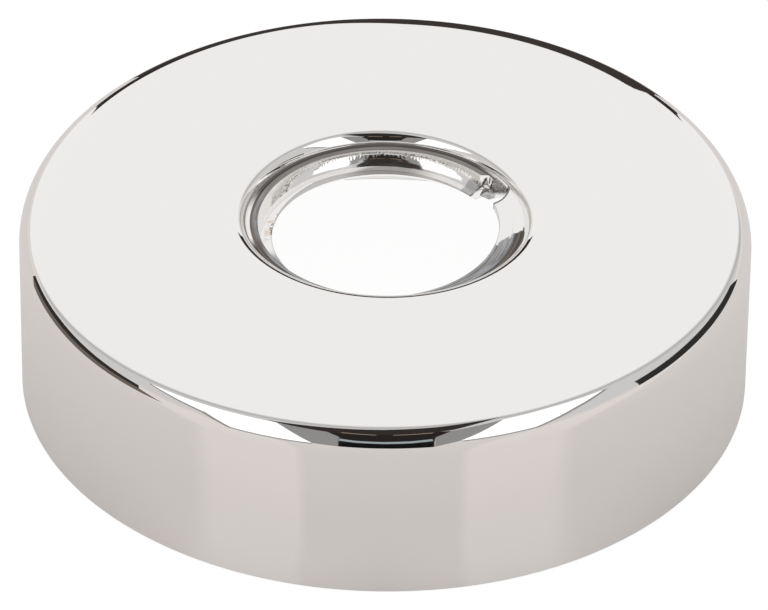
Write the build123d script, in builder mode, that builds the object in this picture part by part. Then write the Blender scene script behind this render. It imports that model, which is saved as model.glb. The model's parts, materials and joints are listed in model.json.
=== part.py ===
from build123d import *
import os

# Threaded escutcheon: a round cup, turned from brass and plated, that screws onto a half-inch pipe and hides
# the hole where the pipe leaves the wall. Its rim stands on the wall at Z = 0, and the polished face looks
# towards +Z. The pipe runs along the Z axis. All sizes are in millimetres.

# Outer form
outer_diameter = 60.0
height = 16.8
side_wall = 2.0
outer_edge_radius = 3.3

# Half-inch parallel pipe thread. Only its last ridge is left, as a plain ring at the crests of the thread.
thread_major_diameter = 20.955
threads_per_inch = 14
inch = 25.4
thread_depth_per_pitch = 0.640327
ridge_height = 0.35
ridge_width = 0.45
ridge_countersink = 0.6

# Recess round the pipe on the polished face: a rolled lip, a ledge, and a steep cone from the thread's roots
lip_width = 2.2
recess_depth = 1.75
ledge_width = 0.88
relief_depth = 1.3

# Small edges
inside_corner_radius = 1.5
rim_chamfer = 0.1

# Sizes that follow from those above
outer_radius = outer_diameter / 2
inner_radius = outer_radius - side_wall
thread_pitch = inch / threads_per_inch
root_radius = thread_major_diameter / 2
crest_radius = root_radius - thread_depth_per_pitch * thread_pitch
recess_radius = root_radius + ledge_width
lip_radius = recess_radius + lip_width
ledge_level = height - recess_depth
ridge_level = ledge_level - relief_depth
underside_level = ridge_level - ridge_height - ridge_countersink

os.makedirs("parts", exist_ok=True)


def rings(solid, level):
    """The round edges of a turned solid at one level, from the innermost to the outermost."""
    at_level = solid.edges().filter_by(GeomType.CIRCLE).filter_by_position(Axis.Z, level, level)
    return at_level.sort_by(SortBy.RADIUS)


# The cup, with its plate, side wall, recess and bore in one section turned about the pipe's axis
with BuildPart() as escutcheon:
    with BuildSketch(Plane.XZ):
        with BuildLine():
            lip = TangentArc((lip_radius, height), (recess_radius, ledge_level), tangent=(-1, 0))
            Polyline(
                lip @ 1,
                (root_radius, ledge_level),
                (crest_radius + ridge_width, ridge_level),
                (crest_radius, ridge_level),
                (crest_radius, underside_level),
                (inner_radius, underside_level),
                (inner_radius, 0),
                (outer_radius, 0),
                (outer_radius, height),
                lip @ 0,
            )
        make_face()
    revolve(axis=Axis.Z)
    # Rolled outer edge of the polished face
    fillet(rings(escutcheon, height)[-1], radius=outer_edge_radius)
    # Hidden side: the corner inside the cup and the lead-in to the thread
    fillet(rings(escutcheon, underside_level)[-1], radius=inside_corner_radius)
    chamfer(rings(escutcheon, underside_level)[0], length=ridge_countersink)
    # Rim that stands on the wall
    chamfer(rings(escutcheon, 0), length=rim_chamfer)

escutcheon.part.label = "escutcheon"
export_step(escutcheon.part, "parts/escutcheon.step")
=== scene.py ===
import bpy
import json
from math import asin, atan, cos, degrees, radians, sin, sqrt
from mathutils import Matrix, Vector


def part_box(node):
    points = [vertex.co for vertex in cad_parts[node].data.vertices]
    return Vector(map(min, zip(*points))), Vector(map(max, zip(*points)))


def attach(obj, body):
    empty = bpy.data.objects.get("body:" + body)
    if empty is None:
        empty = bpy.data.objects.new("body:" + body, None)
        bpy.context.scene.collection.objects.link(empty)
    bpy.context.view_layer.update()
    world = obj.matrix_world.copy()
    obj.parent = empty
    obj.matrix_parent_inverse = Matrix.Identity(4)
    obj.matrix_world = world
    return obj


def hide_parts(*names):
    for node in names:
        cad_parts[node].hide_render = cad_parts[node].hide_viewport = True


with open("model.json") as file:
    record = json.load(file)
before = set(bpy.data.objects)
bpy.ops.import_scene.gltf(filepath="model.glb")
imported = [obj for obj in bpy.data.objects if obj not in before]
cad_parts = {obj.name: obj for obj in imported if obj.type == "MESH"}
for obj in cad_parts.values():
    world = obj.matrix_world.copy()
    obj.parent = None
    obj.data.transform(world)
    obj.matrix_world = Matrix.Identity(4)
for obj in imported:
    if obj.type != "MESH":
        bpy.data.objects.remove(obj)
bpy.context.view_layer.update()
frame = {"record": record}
MM = 0.001
FULL_TURN = 360
HALF_TURN = 180

# Sizes taken from the frame, in millimetres
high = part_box("escutcheon")[1]
OUTER_RADIUS = high.x / MM
HEIGHT = high.z / MM
mounts = {mount["name"]: mount for mount in frame["record"]["mounts"]}
CREST_RADIUS = mounts["pipe_thread"]["dims"]["r_mm"]
THREAD_MIDDLE = mounts["pipe_thread"]["pos_m"][2] / MM
THREAD_LENGTH = mounts["pipe_thread"]["dims"]["length_mm"]

# The other sizes of the solid's section, in millimetres
THREAD_MAJOR_DIAMETER = 20.955
ROOT_RADIUS = THREAD_MAJOR_DIAMETER / 2
OUTER_EDGE = 3.3
LIP_WIDTH = 2.2
LEDGE_WIDTH = 0.88
RECESS_DEPTH = 1.75
LEDGE_LEVEL = HEIGHT - RECESS_DEPTH
RECESS_RADIUS = ROOT_RADIUS + LEDGE_WIDTH
LIP_ROLL = (LIP_WIDTH ** 2 + RECESS_DEPTH ** 2) / (2 * RECESS_DEPTH)
RIDGE_LEVEL = THREAD_MIDDLE + THREAD_LENGTH / 2
BORE_FOOT = THREAD_MIDDLE - THREAD_LENGTH / 2
COUNTERSINK = 0.6
UNDERSIDE = BORE_FOOT - COUNTERSINK
SIDE_WALL = 2.0
INNER_RADIUS = OUTER_RADIUS - SIDE_WALL
INSIDE_CORNER = 1.5
RIM_CHAMFER = 0.1

# The ridge's own section, and the cone that bends from it up to the ledge. Lengths are in millimetres.
# The ridge widens between two angles. Leans are from upright, before the cone is fitted between its ends.
RIDGE_WIDTH = 0.54
RIDGE_WIDENING = 0.4
WIDENING_ANGLES = (120, 165)
RIDGE_RISE = 0.04
RIDGE_THICKNESS = 0.55
SINK_SPREAD = 2.0
CONE_SHARE = 0.45
CONE_LEAN = (37.0, 31.0)
WALL_LEAN = 10.0
ROOT_MARGIN = 0.03
SHELF_MARGIN = 0.02
SHELF_DROP = 0.01

# The thread's last ridge. Its upper edge rises from its end at the back right, is broken away at the
# left, and rises from there to its start at the right. Each entry is the angle from +X, counted on past
# a full turn, and the level of that edge.
RIDGE_START = 18.4
RIDGE_END = 42.0
START_TOP = LEDGE_LEVEL - 0.02
END_TOP = BORE_FOOT + 0.06
RIDGE_TOP = [
    (RIDGE_END, END_TOP),
    (90, RIDGE_LEVEL),
    (130, RIDGE_LEVEL + 0.15),
    (168, BORE_FOOT + 0.16),
    (211, BORE_FOOT + 0.26),
    (309, LEDGE_LEVEL - 0.58),
    (338, LEDGE_LEVEL - 0.33),
    (FULL_TURN + RIDGE_START, START_TOP),
]

# The start runs outwards in a curve, and between it and the end is a gap with a torn edge. Each entry is
# the angle from +X, the radius of the edge, its level and the level of the surface above it.
START_SLOPE = 1.2
START_CURVE = 1.45
START_REACH = 25.9
GAP_WIDENING = 0.5
GAP_OPENS = (21, 25)
GAP_CLOSES = (39, 42)
GAP = [
    (START_REACH, 11.2, 14.8, 14.98),
    (26.6, 10.92, 14.65, 14.75),
    (28.2, 10.72, 14.5, 14.6),
    (30.5, 10.45, 14.35, 14.45),
    (33.0, 10.4, 14.1, 14.2),
    (35.6, 10.25, 14.0, 14.1),
    (36.4, 10.2, 13.9, 14.0),
    (37.9, 9.84, 13.55, 13.65),
    (39.4, 10.35, 13.85, 13.95),
    (40.4, 10.45, 13.9, 14.0),
    (41.0, 10.1, 13.6, 13.8),
    (RIDGE_END, CREST_RADIUS, BORE_FOOT, END_TOP),
]

# Steps of the mesh along the section, and the places of the loops that keep its corners crisp
LIP_STEPS = 30
FACE_STEPS = 6
EDGE_STEPS = 36
SIDE_STEPS = 6
RIM_STEPS = 3
CORNER_STEPS = 10
UNDERSIDE_STEPS = 5
RIDGE_STEPS = 5
COVE_STEPS = 20
LEDGE_STEPS = 6
CORNER_LOOP = 0.04
COVE_LOOP_SHARE = 0.4


def smooth(low_end, high_end, value):
    """A soft step from 0 to 1 between two ends."""
    share = min(1.0, max(0.0, (value - low_end) / (high_end - low_end)))
    return share * share * (3 - 2 * share)


def part_way(first, last, share):
    """The entries that lie a share of the way from one list of numbers to another."""
    return tuple(a + (b - a) * share for a, b in zip(first, last))


def arc(centre, radius, first, last, steps):
    """Points of an arc in the section, from one angle to another in degrees."""
    points = []
    for step in range(steps + 1):
        angle = radians(first + (last - first) * step / steps)
        points.append((centre[0] + radius * cos(angle), centre[1] + radius * sin(angle)))
    return points


def run(first, last, steps):
    """Points of a straight run, without its ends, with a loop close to each end."""
    length = max(sqrt((last[0] - first[0]) ** 2 + (last[1] - first[1]) ** 2), 3 * CORNER_LOOP)
    inner = [step / steps for step in range(1, steps)]
    shares = [CORNER_LOOP / length] + inner + [1 - CORNER_LOOP / length]
    return [part_way(first, last, share) for share in shares]


def chain(corners, steps):
    """Corners with runs between them, without the last corner."""
    points = []
    for first, last in zip(corners, corners[1:]):
        points += [first] + run(first, last, steps)
    return points


# The part of the section that is the same all round, from the ledge over the face to the hidden side
lip_end = degrees(asin((LEDGE_LEVEL - HEIGHT + LIP_ROLL) / LIP_ROLL))
lip_centre = (RECESS_RADIUS + LIP_ROLL * cos(radians(lip_end)), HEIGHT - LIP_ROLL)
edge_centre = (OUTER_RADIUS - OUTER_EDGE, HEIGHT - OUTER_EDGE)
corner_centre = (INNER_RADIUS - INSIDE_CORNER, UNDERSIDE - INSIDE_CORNER)
rim = [
    (OUTER_RADIUS, RIM_CHAMFER),
    (OUTER_RADIUS - RIM_CHAMFER, 0),
    (INNER_RADIUS + RIM_CHAMFER, 0),
    (INNER_RADIUS, RIM_CHAMFER),
    (INNER_RADIUS, corner_centre[1]),
]
fixed = [(RECESS_RADIUS, LEDGE_LEVEL)]
fixed += arc(lip_centre, LIP_ROLL, HALF_TURN - lip_end, 90, LIP_STEPS)[1:]
fixed += run((lip_centre[0], HEIGHT), (edge_centre[0], HEIGHT), FACE_STEPS)
fixed += arc(edge_centre, OUTER_EDGE, 90, 0, EDGE_STEPS)
fixed += run((OUTER_RADIUS, edge_centre[1]), rim[0], SIDE_STEPS)
fixed += chain(rim, RIM_STEPS)
fixed += arc(corner_centre, INSIDE_CORNER, 0, 90, CORNER_STEPS)


def along(table, value):
    """The other entries of a table, between its lines, for a value of its first entry."""
    for first, last in zip(table, table[1:]):
        if first[0] <= value <= last[0]:
            return part_way(first[1:], last[1:], (value - first[0]) / (last[0] - first[0]))


def from_end(angle):
    """The same angle, counted on from the ridge's end."""
    return angle if angle >= RIDGE_END else angle + FULL_TURN


def at_angle(angle):
    """Radius and level of the hole's edge, and level of the ridge's top, at an angle."""
    if START_REACH <= angle < RIDGE_END:
        return along(GAP, angle)
    if RIDGE_START < angle < START_REACH:
        steepness = sqrt(START_SLOPE ** 2 + 4 * START_CURVE * (angle - RIDGE_START))
        past = (steepness - START_SLOPE) / (2 * START_CURVE)
        return CREST_RADIUS + past, START_TOP - RIDGE_THICKNESS, START_TOP
    top = along(RIDGE_TOP, from_end(angle))[0]
    return CREST_RADIUS, max(BORE_FOOT, top - RIDGE_THICKNESS), top


def cove(low_end, high_end):
    """Points between two ends of the section, without the ends: a cone that bends up to a steep wall."""
    walk = [(0.0, 0.0)]
    for step in range(COVE_STEPS):
        share = (step + 0.5) / COVE_STEPS
        if share < CONE_SHARE:
            lean = CONE_LEAN[0] + (CONE_LEAN[1] - CONE_LEAN[0]) * share / CONE_SHARE
        else:
            lean = CONE_LEAN[1] + (WALL_LEAN - CONE_LEAN[1]) * (share - CONE_SHARE) / (1 - CONE_SHARE)
        walk.append((walk[-1][0] + sin(radians(lean)), walk[-1][1] + cos(radians(lean))))
    scale = [(end - start) / length for start, end, length in zip(low_end, high_end, walk[-1])]
    points = [(low_end[0] + out * scale[0], low_end[1] + up * scale[1]) for out, up in walk[1:-1]]
    near = part_way(low_end, points[0], COVE_LOOP_SHARE)
    far = part_way(high_end, points[-1], COVE_LOOP_SHARE)
    return [near] + points + [far]


def section_at(angle):
    """The whole closed section at an angle, each entry (radius, level) in millimetres."""
    edge, foot, top = at_angle(angle)
    width = RIDGE_WIDTH + RIDGE_WIDENING * smooth(*WIDENING_ANGLES, from_end(angle))
    sink = (edge + COUNTERSINK + SINK_SPREAD * (foot - BORE_FOOT), UNDERSIDE)
    in_gap = smooth(*GAP_OPENS, angle) * (1 - smooth(*GAP_CLOSES, angle))
    root = (max(ROOT_RADIUS + GAP_WIDENING * in_gap, edge + ROOT_MARGIN), LEDGE_LEVEL)
    shelf = (min(edge + width, root[0] - SHELF_MARGIN), min(top + RIDGE_RISE, LEDGE_LEVEL - SHELF_DROP))
    points = chain([sink, (edge, foot), (edge, top), shelf], RIDGE_STEPS) + [shelf]
    points += cove(shelf, root) + chain([root, (RECESS_RADIUS, LEDGE_LEVEL)], LEDGE_STEPS)
    return points + fixed + run((corner_centre[0], UNDERSIDE), sink, UNDERSIDE_STEPS)


# Angles round the axis, closer together where the ridge starts and ends
FINE_FROM = 17.0
FINE_TO = 44.0
FINE_STEP = 0.2
COARSE_STEP = 1.0
ROUNDING = 1e-9
angles = []
angle = float(-HALF_TURN)
while angle < HALF_TURN - ROUNDING:
    angles.append(angle)
    angle += FINE_STEP if FINE_FROM <= angle < FINE_TO else COARSE_STEP

# The mesh: the section at every angle, joined to the next one
vertices = []
for angle in angles:
    turn = radians(angle)
    section = section_at(angle)
    vertices += [(out * cos(turn) * MM, out * sin(turn) * MM, up * MM) for out, up in section]

faces = []
count = len(section)
for column in range(len(angles)):
    following = (column + 1) % len(angles)
    for point in range(count):
        after = (point + 1) % count
        faces.append((column * count + point, column * count + after,
                      following * count + after, following * count + point))

mesh = bpy.data.meshes.new("escutcheon_body")
mesh.from_pydata(vertices, [], faces)
mesh.update()
mesh.flip_normals()
mesh.shade_smooth()
body = bpy.data.objects.new("escutcheon_body", mesh)
bpy.context.scene.collection.objects.link(body)
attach(body, "root")
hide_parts("escutcheon")

# The two colours and the result among the sockets of a colour mix
MIX_FIRST = 6
MIX_SECOND = 7
MIX_RESULT = 2


def node(tree, kind, **settings):
    """A new node with its settings."""
    made = tree.nodes.new(kind)
    for name, value in settings.items():
        setattr(made, name, value)
    return made


def feed(socket, value):
    """Links an output socket to an input socket, or sets the input to a constant."""
    if isinstance(value, bpy.types.NodeSocket):
        socket.id_data.links.new(value, socket)
    else:
        socket.default_value = value


def compute(operation, *inputs):
    """The output of a math node. One input or more is an output socket, and the others are numbers."""
    tree = next(value.id_data for value in inputs if isinstance(value, bpy.types.NodeSocket))
    made = node(tree, "ShaderNodeMath", operation=operation)
    for socket, value in zip(made.inputs, inputs):
        feed(socket, value)
    return made.outputs[0]


def plus(first, second):
    """The sum of two values."""
    return compute("ADD", first, second)


def minus(first, second):
    """The first value less the second."""
    return compute("SUBTRACT", first, second)


def times(first, *others):
    """The product of two values or more."""
    for value in others:
        first = compute("MULTIPLY", first, value)
    return first


def mapped(value, low_end, high_end, low_result=0.0, high_result=1.0, interpolation="LINEAR"):
    """A value carried from one range over to another, and held at that range's ends."""
    made = node(value.id_data, "ShaderNodeMapRange", interpolation_type=interpolation)
    for socket, given in zip(made.inputs, (value, low_end, high_end, low_result, high_result)):
        feed(socket, given)
    return made.outputs[0]


def between(value, low_end, high_end, soft):
    """A mask that is 1 where the value lies between two ends, with soft borders."""
    rising = mapped(value, low_end - soft, low_end + soft, interpolation="SMOOTHSTEP")
    falling = mapped(value, high_end - soft, high_end + soft, 1.0, 0.0, "SMOOTHSTEP")
    return times(rising, falling)


def noise(place, scale, detail=3.0, roughness=0.5):
    """The value of a noise texture at a place."""
    made = node(place.id_data, "ShaderNodeTexNoise")
    feed(made.inputs["Vector"], place)
    feed(made.inputs["Scale"], scale)
    feed(made.inputs["Detail"], detail)
    feed(made.inputs["Roughness"], roughness)
    return made.outputs["Fac"]


def blend(share, first, second):
    """A mix of two colours, each of them a tuple or an output socket."""
    made = node(share.id_data, "ShaderNodeMix", data_type="RGBA")
    feed(made.inputs[0], share)
    feed(made.inputs[MIX_FIRST], first)
    feed(made.inputs[MIX_SECOND], second)
    return made.outputs[MIX_RESULT]


def either(share, first, second):
    """A mix of two shaders: the first where the share is 0, the second where it is 1."""
    made = node(share.id_data, "ShaderNodeMixShader")
    for socket, value in zip(made.inputs, (share, first, second)):
        feed(socket, value)
    return made.outputs[0]


# Chrome: polished outside, dull and turned in the recess and inside the cup. The recess also has painted
# shade, painted dark reflection lines and a painted highlight.
CHROME = (0.88, 0.863, 0.847, 1)
DULL = (0.36, 0.36, 0.37, 1)
# The dark end of the turning streaks and of the torn spots, also used as painted shade at the back of the
# recess
DULL_DARK_AND_SHADE = (0.2, 0.185, 0.175, 1)
# Painted shade in streaks over the front of the recess: its paler end and its deeper end
FRONT_SHADE_PALE = (0.38, 0.385, 0.4, 1)
FRONT_SHADE_DEEP = (0.13, 0.125, 0.122, 1)
# Painted shade in the ledge's outer corner
CORNER_SHADE = (0.16, 0.13, 0.11, 1)
# Dark colour for painted shade and painted dark reflection lines, and for the dark chips among the brass
# spots
DARK_STAIN_AND_SHADE = (0.05, 0.042, 0.04, 1)
BRASS = (0.62, 0.42, 0.22, 1)
TURNED = (0.8, 0.785, 0.765, 1)

# Where the looks lie. Each entry is a low end, a high end and the softness of both borders. Angles are
# from +X in degrees, or from a slanted line where the name says so. Radii and levels are in millimetres.
DULL_FROM = 11.12
FRONT_FROM = -3.0
HIGH_LEVELS = (BORE_FOOT - 0.05, HEIGHT + 1, 0.02)
RECESS_RADII = (0, RECESS_RADIUS + 0.02, 0.03)
LEDGE_LEVELS = (LEDGE_LEVEL - 0.03, LEDGE_LEVEL + 0.06, 0.02)
BELOW_LEDGE_LEVELS = (0, LEDGE_LEVEL - 0.04, 0.02)
LAND_RADII = (0, CREST_RADIUS + 0.05, 0.03)
BRIGHT_FRONT_SLANT = (FRONT_FROM, 200, 0.8)
BRIGHT_START_SLANT = (-90, RIDGE_START + 0.4, 0.3)
START_LINE_SLANT = (RIDGE_START - 1.1, RIDGE_START + 1, 0.3)
DULL_RADII = (0, DULL_FROM, 0.03)
CORNER_RADII = (DULL_FROM - 0.2, RECESS_RADIUS, 0.05)
DARK_FRONT_SLANT = (-200, FRONT_FROM, 0.8)
FRONT_ANGLES = (-163, 90, 5)
FRONT_OUTER_RADII = (10.75, 12, 0.12)
BACK_ANGLES = (26, 158, 8)
SHELF_BACK_ANGLES = (72, 108, 10)
SHELF_BACK_LEVELS = (0, RIDGE_LEVEL + 0.07, 0.02)
BACK_CORNER_RADII = (RECESS_RADIUS - 0.38, RECESS_RADIUS + 1, 0.05)
BACK_CORNER_ANGLES = (40, 165, 9)
TORN_START_SLANT = (RIDGE_START + 0.4, 90, 0.3)
TORN_GAP_SLANT = (0, 36.7, 0.4)
TORN_LEVELS = (UNDERSIDE - 1, LEDGE_LEVEL + 0.05, 0.03)
TORN_RADII = (0, RECESS_RADIUS - 0.1, 0.05)
TORN_LIGHT_NOISE = (0.5, 2.0, 0.06)
HIDDEN_LEVELS = (0.15, UNDERSIDE + 0.05, 0.05)
HIDDEN_RADII = (0, INNER_RADIUS + 0.05, 0.02)
LEFT_BACK_ANGLES = (163, 181, 4)
LEFT_FRONT_ANGLES = (-181, -175, 3)
SPOT_NOISE = (0.53, 2.0, 0.05)
SPOT_RADII = (0, 9.95, 0.15)
CHIP_RADII = (0, 9.5, 0.1)
BLUNT_END_SLANT = (40.5, 47, 0.5)
BLUNT_END_LEVELS = (0, 14.3, 0.1)
TOOTH_RIGHT_SLANT = (36.4, 37.1, 0.15)
TOOTH_LEFT_SLANT = (39.9, 40.5, 0.15)
TOOTH_LEVELS = (0, 14.7, 0.1)
CHATTER_LEVELS = (14.45, HEIGHT, 0.12)

# How the slanted lines run, in degrees per millimetre, and how far the one at the front wanders
FRONT_SLANT = 7.0
FRONT_WANDER = 14.0
GAP_SLANT = 1.5
GAP_MIDDLE = 14.6

chrome = bpy.data.materials.new("chrome_plate")
chrome.use_nodes = True
tree = chrome.node_tree
shader = tree.nodes["Principled BSDF"]
shader.inputs["Metallic"].default_value = 1.0
scaled = node(tree, "ShaderNodeVectorMath", operation="SCALE")
feed(scaled.inputs[0], node(tree, "ShaderNodeTexCoord").outputs["Object"])
feed(scaled.inputs["Scale"], 1 / MM)
place = scaled.outputs[0]
axes = node(tree, "ShaderNodeSeparateXYZ")
feed(axes.inputs[0], place)
x, y, level = axes.outputs
radius = compute("SQRT", plus(times(x, x), times(y, y)))
angle = times(compute("ARCTAN2", y, x), degrees(1))

# The slanted lines: of the ridge's start, of the stain at the front, and of the gap
past = minus(radius, CREST_RADIUS)
start_slant = minus(angle, times(past, plus(times(past, START_CURVE), START_SLOPE)))
front_slant = plus(angle, times(minus(RECESS_RADIUS, radius), FRONT_SLANT))
front_slant = plus(front_slant, times(minus(noise(place, scale=1.6), 0.5), FRONT_WANDER))
gap_slant = plus(angle, times(minus(level, GAP_MIDDLE), GAP_SLANT))

# Masks of the recess all round, with painted shade in the ledge's outer corner and a painted highlight
# where the ledge stays polished at the right side
recess = times(between(level, *HIGH_LEVELS), between(radius, *RECESS_RADII))
ledge = times(recess, between(level, *LEDGE_LEVELS))
below_ledge = times(recess, between(level, *BELOW_LEDGE_LEVELS))
land = times(recess, between(radius, *LAND_RADII))
# Painted highlight: on the right side the ledge keeps the bright chrome colour instead of the dull one
bright_side = times(between(front_slant, *BRIGHT_FRONT_SLANT), between(start_slant, *BRIGHT_START_SLANT))
dull_ledge = times(ledge, minus(1.0, bright_side), between(radius, *DULL_RADII))
ledge_corner_shade = times(dull_ledge, between(radius, *CORNER_RADII))

# Masks of painted shade at the front and at the back of the hole, and of a painted dark reflection line
# at the front
front_shade = times(recess, between(front_slant, *DARK_FRONT_SLANT), between(angle, *FRONT_ANGLES))
front_reflection_line = times(front_shade, between(radius, *FRONT_OUTER_RADII))
back_shade = between(angle, *BACK_ANGLES)
shelf_back_shade = times(recess, between(angle, *SHELF_BACK_ANGLES), between(level, *SHELF_BACK_LEVELS))
back_corner_shade = times(ledge, between(radius, *BACK_CORNER_RADII), between(angle, *BACK_CORNER_ANGLES))

# Masks at the gap: a line of painted shade along the ridge's start, the torn edge, painted shade down the
# tooth's sides, and the ridge's blunt end
start_shade_line = times(recess, between(start_slant, *START_LINE_SLANT))
torn = times(between(start_slant, *TORN_START_SLANT), between(gap_slant, *TORN_GAP_SLANT))
torn = times(torn, between(level, *TORN_LEVELS), between(radius, *TORN_RADII))
tooth_side_shade = plus(between(gap_slant, *TOOTH_RIGHT_SLANT), between(gap_slant, *TOOTH_LEFT_SLANT))
tooth_side_shade = times(recess, tooth_side_shade, between(level, *TOOTH_LEVELS))
blunt_end = times(recess, between(gap_slant, *BLUNT_END_SLANT), between(level, *BLUNT_END_LEVELS))

# Masks of the spots at the left, the chips among them, and the hidden side
left_side = plus(between(angle, *LEFT_BACK_ANGLES), between(angle, *LEFT_FRONT_ANGLES))
spot_noise = noise(place, scale=2.6, detail=4.0, roughness=0.6)
spots = times(recess, left_side, between(spot_noise, *SPOT_NOISE), between(radius, *SPOT_RADII))
chips = times(spots, between(radius, *CHIP_RADII))
hidden = times(between(level, *HIDDEN_LEVELS), between(radius, *HIDDEN_RADII))

# Marks of turning and of the cutter, and a faint unevenness. Rates are of waves, in radians per
# millimetre, or per degree for the chatter. Depths are in millimetres.
RING_RATE = 38.0
RING_DEPTH = 0.004
GROOVE_RATE = 22.0
GROOVE_WANDER = 5.0
GROOVE_DEPTH = 0.0006
CHATTER_RATE = 3.3
CHATTER_WANDER = 14.0
CHATTER_DEPTH = 0.0055
TURNED_RATE = 24.0
TURNED_DEPTH = 0.004
UNEVEN_DEPTH = 0.0035
rings = compute("SINE", times(radius, RING_RATE))
grooves = compute("SINE", plus(times(level, GROOVE_RATE), times(noise(place, scale=0.8), GROOVE_WANDER)))
chatter = compute("SINE", plus(times(angle, CHATTER_RATE), times(noise(place, scale=1.4), CHATTER_WANDER)))
chatter = times(chatter, noise(place, scale=1.1, detail=2.0))
chatter_at = times(below_ledge, plus(between(level, *CHATTER_LEVELS), land))
turned = compute("SINE", times(plus(radius, level), TURNED_RATE))
marks = plus(times(chatter, chatter_at, CHATTER_DEPTH), times(grooves, below_ledge, GROOVE_DEPTH))
marks = plus(marks, times(rings, dull_ledge, RING_DEPTH))
marks = plus(marks, times(turned, hidden, TURNED_DEPTH))
marks = plus(marks, times(noise(place, scale=0.35, detail=1.0), UNEVEN_DEPTH))
bump = node(tree, "ShaderNodeBump")
feed(bump.inputs["Strength"], 1.0)
feed(bump.inputs["Distance"], MM)
feed(bump.inputs["Height"], marks)
feed(shader.inputs["Normal"], bump.outputs[0])

# Colour: streaks that follow the turning, darkened at the back as painted shade, then layers of which
# each covers the ones before it
STREAK_ROUND = 0.045
STREAK_ACROSS = 4.0
STREAK_ENDS = (0.38, 0.62)
BACK_SHADE_SHARE = 0.6
swirl = node(tree, "ShaderNodeCombineXYZ")
feed(swirl.inputs[0], times(angle, STREAK_ROUND))
feed(swirl.inputs[1], times(radius, STREAK_ACROSS))
streaks = mapped(noise(swirl.outputs[0], scale=1.0, roughness=0.6), *STREAK_ENDS)
dull_and_back_shade = blend(streaks, DULL_DARK_AND_SHADE, DULL)
# Painted shade: the dull colour darker at the back of the hole
dull_and_back_shade = blend(times(back_shade, BACK_SHADE_SHARE), dull_and_back_shade, DULL_DARK_AND_SHADE)
front_shade_streaks = blend(streaks, FRONT_SHADE_DEEP, FRONT_SHADE_PALE)
torn_spots = blend(between(noise(place, scale=3.0, detail=4.0), *TORN_LIGHT_NOISE), DULL_DARK_AND_SHADE, DULL)
colour = blend(dull_ledge, CHROME, dull_and_back_shade)

# Each entry is a mask, how much the layer covers, and its colour
layers = [
    # Painted shade in streaks over the front of the recess
    (front_shade, 0.92, front_shade_streaks),
    # A painted dark reflection line near the outer edge of the ledge at the front
    (front_reflection_line, 0.9, DARK_STAIN_AND_SHADE),
    # Painted shade over the shelf and the ridge at the back
    (shelf_back_shade, 0.7, DULL_DARK_AND_SHADE),
    # Painted shade in the ledge's outer corner
    (ledge_corner_shade, 0.9, CORNER_SHADE),
    # Painted shade in the ledge's outer corner at the back
    (back_corner_shade, 0.92, DARK_STAIN_AND_SHADE),
    (spots, 0.5, BRASS),
    (chips, 0.85, DARK_STAIN_AND_SHADE),
    (blunt_end, 0.7, DULL),
    # Painted shade down both sides of the tooth
    (tooth_side_shade, 0.9, DARK_STAIN_AND_SHADE),
    (land, 0.55, dull_and_back_shade),
    (torn, 0.8, torn_spots),
    # A line of painted shade along the ridge's start
    (start_shade_line, 0.85, DARK_STAIN_AND_SHADE),
    (hidden, 1.0, TURNED),
]
for mask, cover, paint in layers:
    colour = blend(times(mask, cover), colour, paint)
feed(shader.inputs["Base Color"], colour)

# Roughness: a high polish with faint wiping marks, duller in the recess and inside the cup
WIPE_ENDS = (0.35, 0.75)
POLISH = (0.022, 0.05)
LEDGE_ROUGH = 0.2
BELOW_LEDGE_ROUGH = 0.05
HIDDEN_ROUGH = 0.3
rough = mapped(noise(place, scale=0.5, detail=5.0, roughness=0.6), *WIPE_ENDS, *POLISH)
rough = plus(rough, times(dull_ledge, LEDGE_ROUGH))
rough = plus(rough, times(below_ledge, BELOW_LEDGE_ROUGH))
rough = plus(rough, times(hidden, HIDDEN_ROUGH))
feed(shader.inputs["Roughness"], rough)
mesh.materials.append(chrome)

# Floor: white to the camera with a share that takes the shadow, and clear from below. In reflections it
# is white under the cup and has a matt tone round it.
FLOOR_HALF = 3.0
FLOOR_DROP = 0.00005
FLOOR_WHITE = 0.93
FLOOR_SHADE = (0.12, 0.12, 0.12, 1)
FLOOR_TONE = (0.82, 0.785, 0.77, 1)
# Painted light on the floor's matt tone: near the base in front, in the two pools, and in both at once
FLOOR_NEAR_LIGHT = (0.93, 0.89, 0.88, 1)
FLOOR_LIT = (0.91, 0.868, 0.855, 1)
FLOOR_LIT_NEAR = (0.99, 0.955, 0.945, 1)
scene = bpy.context.scene
floor_mesh = bpy.data.meshes.new("floor")
floor_corners = [(-FLOOR_HALF, -FLOOR_HALF, 0), (FLOOR_HALF, -FLOOR_HALF, 0),
                 (FLOOR_HALF, FLOOR_HALF, 0), (-FLOOR_HALF, FLOOR_HALF, 0)]
floor_mesh.from_pydata(floor_corners, [], [(0, 1, 2, 3)])
floor = bpy.data.objects.new("floor", floor_mesh)
scene.collection.objects.link(floor)
floor.location.z = -FLOOR_DROP
paper = bpy.data.materials.new("paper")
paper.use_nodes = True
tree = paper.node_tree
tree.nodes.clear()
path = node(tree, "ShaderNodeLightPath")
spot = node(tree, "ShaderNodeNewGeometry")
spot_distance = node(tree, "ShaderNodeVectorMath", operation="LENGTH")
feed(spot_distance.inputs[0], spot.outputs["Position"])
from_axis = spot_distance.outputs["Value"]

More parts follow.
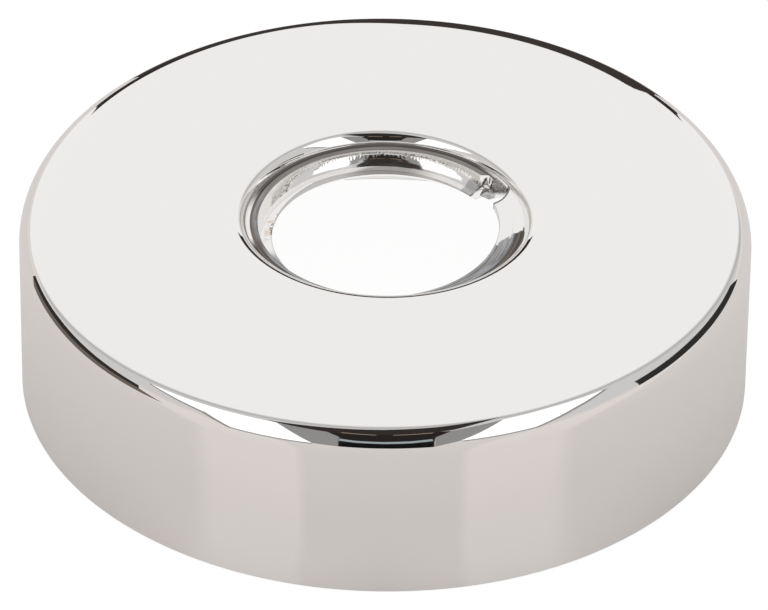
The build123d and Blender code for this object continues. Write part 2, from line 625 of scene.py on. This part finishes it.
# The side of the object mirrors the floor round it, which is lighter near the base and in two zones in
# front, left and right: painted light that thins the object's shadow near the base, and painted pools of
# light in the zones. A zone lies between two angles from the front, in degrees. These widen with the
# distance from the object, in degrees per millimetre, and have soft borders.
ZONE_FROM = 13.0
ZONE_FROM_WIDENING = 0.26
ZONE_FROM_SOFT = 1.5
ZONE_TO = 30.0
ZONE_TO_WIDENING = 0.65
ZONE_TO_SOFT = 3.5
ZONE_OPEN = 400
NEAR_DISTANCES = (-99, 5, 6)
NEAR_ANGLES = (-1, 40, 16)
spot_axes = node(tree, "ShaderNodeSeparateXYZ")
feed(spot_axes.inputs[0], spot.outputs["Position"])
away = minus(compute("DIVIDE", from_axis, MM), OUTER_RADIUS)
forward = times(spot_axes.outputs[1], -1.0)
aside = times(compute("ARCTAN2", compute("ABSOLUTE", spot_axes.outputs[0]), forward), degrees(1))
past_inner = minus(aside, times(away, ZONE_FROM_WIDENING))
past_outer = minus(aside, times(away, ZONE_TO_WIDENING))
light_pool = times(between(past_inner, ZONE_FROM, ZONE_OPEN, ZONE_FROM_SOFT),
             between(past_outer, -ZONE_OPEN, ZONE_TO, ZONE_TO_SOFT))
near_front_light = times(between(away, *NEAR_DISTANCES), between(aside, *NEAR_ANGLES))
tone = blend(near_front_light, FLOOR_TONE, FLOOR_NEAR_LIGHT)
light_pool_tone = blend(near_front_light, FLOOR_LIT, FLOOR_LIT_NEAR)

matt = node(tree, "ShaderNodeBsdfDiffuse")
feed(matt.inputs["Color"], blend(light_pool, tone, light_pool_tone))
shade = node(tree, "ShaderNodeBsdfDiffuse")
feed(shade.inputs["Color"], FLOOR_SHADE)
glow = node(tree, "ShaderNodeEmission")
feed(glow.inputs["Strength"], FLOOR_WHITE)
white = node(tree, "ShaderNodeAddShader")
feed(white.inputs[0], shade.outputs[0])
feed(white.inputs[1], glow.outputs[0])
under_cup = times(compute("LESS_THAN", from_axis, INNER_RADIUS * MM), path.outputs["Is Glossy Ray"])
is_white = compute("MAXIMUM", path.outputs["Is Camera Ray"], under_cup)
from_above = either(is_white, matt.outputs[0], white.outputs[0])
clear = node(tree, "ShaderNodeBsdfTransparent")
surface = either(spot.outputs["Backfacing"], from_above, clear.outputs[0])
feed(node(tree, "ShaderNodeOutputMaterial").inputs["Surface"], surface)
floor_mesh.materials.append(paper)

# Studio: a white tent with a large light over and behind the object, and a darker seam between them
TENT = 0.66
SEAM = 0.48
OVERHEAD = 0.96
OVERHEAD_AXIS = (-0.10, 0.457, 0.884)
OVERHEAD_EDGE = cos(radians(71.5))
SEAM_BEFORE = 0.09
SEAM_AFTER = 0.07
STUDIO_STRENGTH = 2.0


def grey(brightness):
    """The colour that gives a brightness at the studio's strength."""
    return (brightness / STUDIO_STRENGTH,) * 3 + (1,)


world = bpy.data.worlds.new("studio")
scene.world = world
world.use_nodes = True
tree = world.node_tree
background = tree.nodes["Background"]
facing = node(tree, "ShaderNodeVectorMath", operation="DOT_PRODUCT")
feed(facing.inputs[0], node(tree, "ShaderNodeTexCoord").outputs["Generated"])
feed(facing.inputs[1], OVERHEAD_AXIS)
ramp = node(tree, "ShaderNodeValToRGB")
ramp.color_ramp.elements[0].position = OVERHEAD_EDGE - SEAM_BEFORE
ramp.color_ramp.elements[0].color = grey(TENT)
ramp.color_ramp.elements[1].position = OVERHEAD_EDGE + SEAM_AFTER
ramp.color_ramp.elements[1].color = grey(OVERHEAD)
ramp.color_ramp.elements.new(OVERHEAD_EDGE).color = grey(SEAM)
feed(ramp.inputs["Fac"], facing.outputs["Value"])
feed(background.inputs["Strength"], STUDIO_STRENGTH)
feed(background.inputs["Color"], ramp.outputs["Color"])

# Cards round the object that show only in the metal
ELEVATION = radians(35.392)
FLOOR_CLEARANCE = 0.0004
view_line = Vector((0, cos(ELEVATION), -sin(ELEVATION)))


def seen_in_edge(azimuth, elevation, distance):
    """The place that the camera sees by way of the rolled outer edge, in a direction and at a distance.

    Azimuth 0 is to the front and 90 to the right, in degrees. A place below the floor moves up the ray
    to just above it.
    """
    a = radians(azimuth)
    e = radians(elevation)
    ray = Vector((cos(e) * sin(a), -cos(e) * cos(a), sin(e)))
    normal = (ray - view_line).normalized()
    ring = Vector((normal.x, normal.y, 0)).normalized() * edge_centre[0]
    start = (ring + Vector((0, 0, edge_centre[1])) + normal * OUTER_EDGE) * MM
    if elevation < 0:
        distance = min(distance, (start.z - FLOOR_CLEARANCE) / sin(-e))
    return start + ray * distance


def panel(name, places, faces, strength, colour, reach=None):
    """A plain panel that is seen only in reflections, and only from within a reach where that is given."""
    outline = bpy.data.meshes.new(name)
    outline.from_pydata(places, [], faces)
    made = bpy.data.objects.new(name, outline)
    scene.collection.objects.link(made)
    made.visible_camera = False
    made.visible_diffuse = False
    made.visible_transmission = False
    made.visible_shadow = False
    material = bpy.data.materials.new(name)
    material.use_nodes = True
    tree = material.node_tree
    tree.nodes.clear()
    glow = node(tree, "ShaderNodeEmission")
    feed(glow.inputs["Color"], (*colour, 1))
    feed(glow.inputs["Strength"], strength)
    seen = glow.outputs[0]
    if reach:
        clear = node(tree, "ShaderNodeBsdfTransparent")
        length = node(tree, "ShaderNodeLightPath").outputs["Ray Length"]
        seen = either(compute("LESS_THAN", length, reach), clear.outputs[0], seen)
    feed(node(tree, "ShaderNodeOutputMaterial").inputs["Surface"], seen)
    outline.materials.append(material)


def card(name, corners, strength, distance, colour=(1, 1, 1)):
    """A flat panel with its corners given as directions in the rolled edge."""
    places = [seen_in_edge(azimuth, elevation, distance) for azimuth, elevation in corners]
    panel(name, places, [tuple(range(len(places)))], strength, colour)


DARK = (1.0, 0.85, 0.8)
BROWN = (1, 0.85, 0.75)
WARM = (1, 0.78, 0.6)
COOL = (0.85, 0.97, 1.05)
card("softbox_left", [(-72, 16), (-54, 24), (-33, 30), (-20, -10), (-44, -12), (-52, 6)],
     strength=1.32, distance=0.6)
card("softbox_right", [(39, 37), (54, 36), (71, 28), (57, 15), (44, -2), (22, -1)],
     strength=1.32, distance=0.6)
card("camera_dark", [(-17, 27), (-12.6, 15), (-12.6, 0), (14.4, 0), (15, 15), (21, 29)],
     strength=0.022, distance=0.45, colour=DARK)
card("camera_low", [(-12.6, 0.5), (-12.6, -12), (14.4, -12), (14.4, 0.5)],
     strength=0.008, distance=0.45)
card("hat", [(-37, 31), (-23, 36.5), (0, 40.5), (18, 42.5), (41, 45),
             (22, 31), (10, 26), (-10, 24), (-20, 27)],
     strength=0.035, distance=0.44, colour=DARK)
card("leg_left", [(-33, 30), (-17, 27), (-12.6, 15), (-12.6, -12), (-20, -10)],
     strength=0.30, distance=0.5)
card("leg_right", [(21, 29), (39, 37), (22, -1), (14.4, -12), (15, 15)],
     strength=0.30, distance=0.5)
card("lens", [(-12.5, 5), (-8, 2.4), (0, 1.2), (8, 2.4), (14, 5.5),
              (14, 11), (8, 8), (0, 6.6), (-8, 7.8), (-12.5, 10.5)],
     strength=0.42, distance=0.38, colour=COOL)
card("glint_left", [(-12.5, 27), (-2, 25), (-2, 26.2), (-12.5, 28.6)],
     strength=0.36, distance=0.38, colour=WARM)
card("glint_right", [(3, 25), (15, 27), (15, 28.6), (3, 26.2)],
     strength=0.36, distance=0.38, colour=WARM)
card("line_left", [(-20, -10), (-44, -12), (-52, 6), (-72, 16),
                   (-72, 14), (-53, 3), (-45, -15), (-20, -13)],
     strength=0.3, distance=0.05)
card("line_right", [(22, -1), (44, -2), (57, 15), (71, 28), (72, 26), (58, 12), (45, -5), (23, -4)],
     strength=0.3, distance=0.2)
card("bar_left", [(-126, -5), (-108, -2.5), (-74, -2), (-74, -8.5), (-128, -11)],
     strength=0.03, distance=0.045)
card("bar_left_low", [(-128, -11), (-74, -8.5), (-66, -14.5), (-128, -18)],
     strength=0.16, distance=0.045, colour=BROWN)
card("bar_right", [(77.4, 10.5), (100, 8), (124, 2), (129, -9), (100, -5.5), (78, -3)],
     strength=0.03, distance=0.08)

# A dark flag that stands behind the object and draws the line of its back edge, higher at the right.
# Each entry is an angle from +X and the height of the flag's top there, in millimetres. The flag is
# clear to reflections from farther than its reach.
FLAG_RADIUS = OUTER_RADIUS + 20
FLAG_FOOT = 8.0
FLAG_REACH = 38.0
FLAG_STEPS = 38
FLAG_GLOW = 0.045
FLAG_TOP = [
    (56, 17.0),
    (58, 24.0),
    (62, 30.5),
    (73, 29.3),
    (88, 28.8),
    (97, 22.7),
    (106, 21.0),
    (114, 19.0),
    (121, 16.8),
]
flag_right = FLAG_TOP[0][0]
flag_left = FLAG_TOP[-1][0]
flag_places = []
for step in range(FLAG_STEPS + 1):
    side = flag_right + (flag_left - flag_right) * step / FLAG_STEPS
    out = FLAG_RADIUS * cos(radians(side))
    behind = FLAG_RADIUS * sin(radians(side))
    for up in (FLAG_FOOT, along(FLAG_TOP, min(side, flag_left))[0]):
        flag_places.append(Vector((out, behind, up)) * MM)
flag_faces = [(2 * step, 2 * step + 2, 2 * step + 3, 2 * step + 1) for step in range(FLAG_STEPS)]
panel("flag_back", flag_places, flag_faces, FLAG_GLOW, DARK, FLAG_REACH * MM)

# The dark room low behind the table, which draws the line of the lip at the front
ROOM_AWAY = 0.5
ROOM_HALF = 0.16
ROOM_TOP = 0.125
ROOM_GLOW = 0.03
room_places = [(-ROOM_HALF, ROOM_AWAY, 0), (ROOM_HALF, ROOM_AWAY, 0),
               (ROOM_HALF, ROOM_AWAY, ROOM_TOP), (-ROOM_HALF, ROOM_AWAY, ROOM_TOP)]
panel("room_back", room_places, [(0, 1, 2, 3)], ROOM_GLOW, DARK)

# Camera: a long lens in front of the object and about 35 degrees up, with a slight roll. The view's
# centre lies a little beside the aim, in pixels of the photo.
FRAME_WIDTH = 768
SENSOR_WIDTH = 36.0
ROLL = radians(0.653)
DISTANCE = 0.600
FOCAL_PIXELS = 7281.6
CENTRE_RIGHT = 0.77
CENTRE_UP = 16.77
camera_data = bpy.data.cameras.new("camera")
camera_data.sensor_fit = "HORIZONTAL"
camera_data.sensor_width = SENSOR_WIDTH
camera_data.lens = FOCAL_PIXELS / FRAME_WIDTH * camera_data.sensor_width
camera_data.clip_start = 0.01
camera_data.clip_end = 20.0
camera = bpy.data.objects.new("camera", camera_data)
scene.collection.objects.link(camera)
aim = Vector((0, 0, HEIGHT / 2 * MM))
backward = Vector((0, -cos(ELEVATION), sin(ELEVATION)))
turn = (-backward).to_track_quat("-Z", "Y").to_matrix().to_4x4()
tilt = Matrix.Rotation(ROLL, 4, "Z")
pitch = Matrix.Rotation(-atan(CENTRE_UP / FOCAL_PIXELS), 4, "X")
yaw = Matrix.Rotation(atan(CENTRE_RIGHT / FOCAL_PIXELS), 4, "Y")
camera.matrix_world = Matrix.Translation(aim + backward * DISTANCE) @ turn @ tilt @ pitch @ yaw
scene.camera = camera
scene.view_settings.view_transform = "Standard"
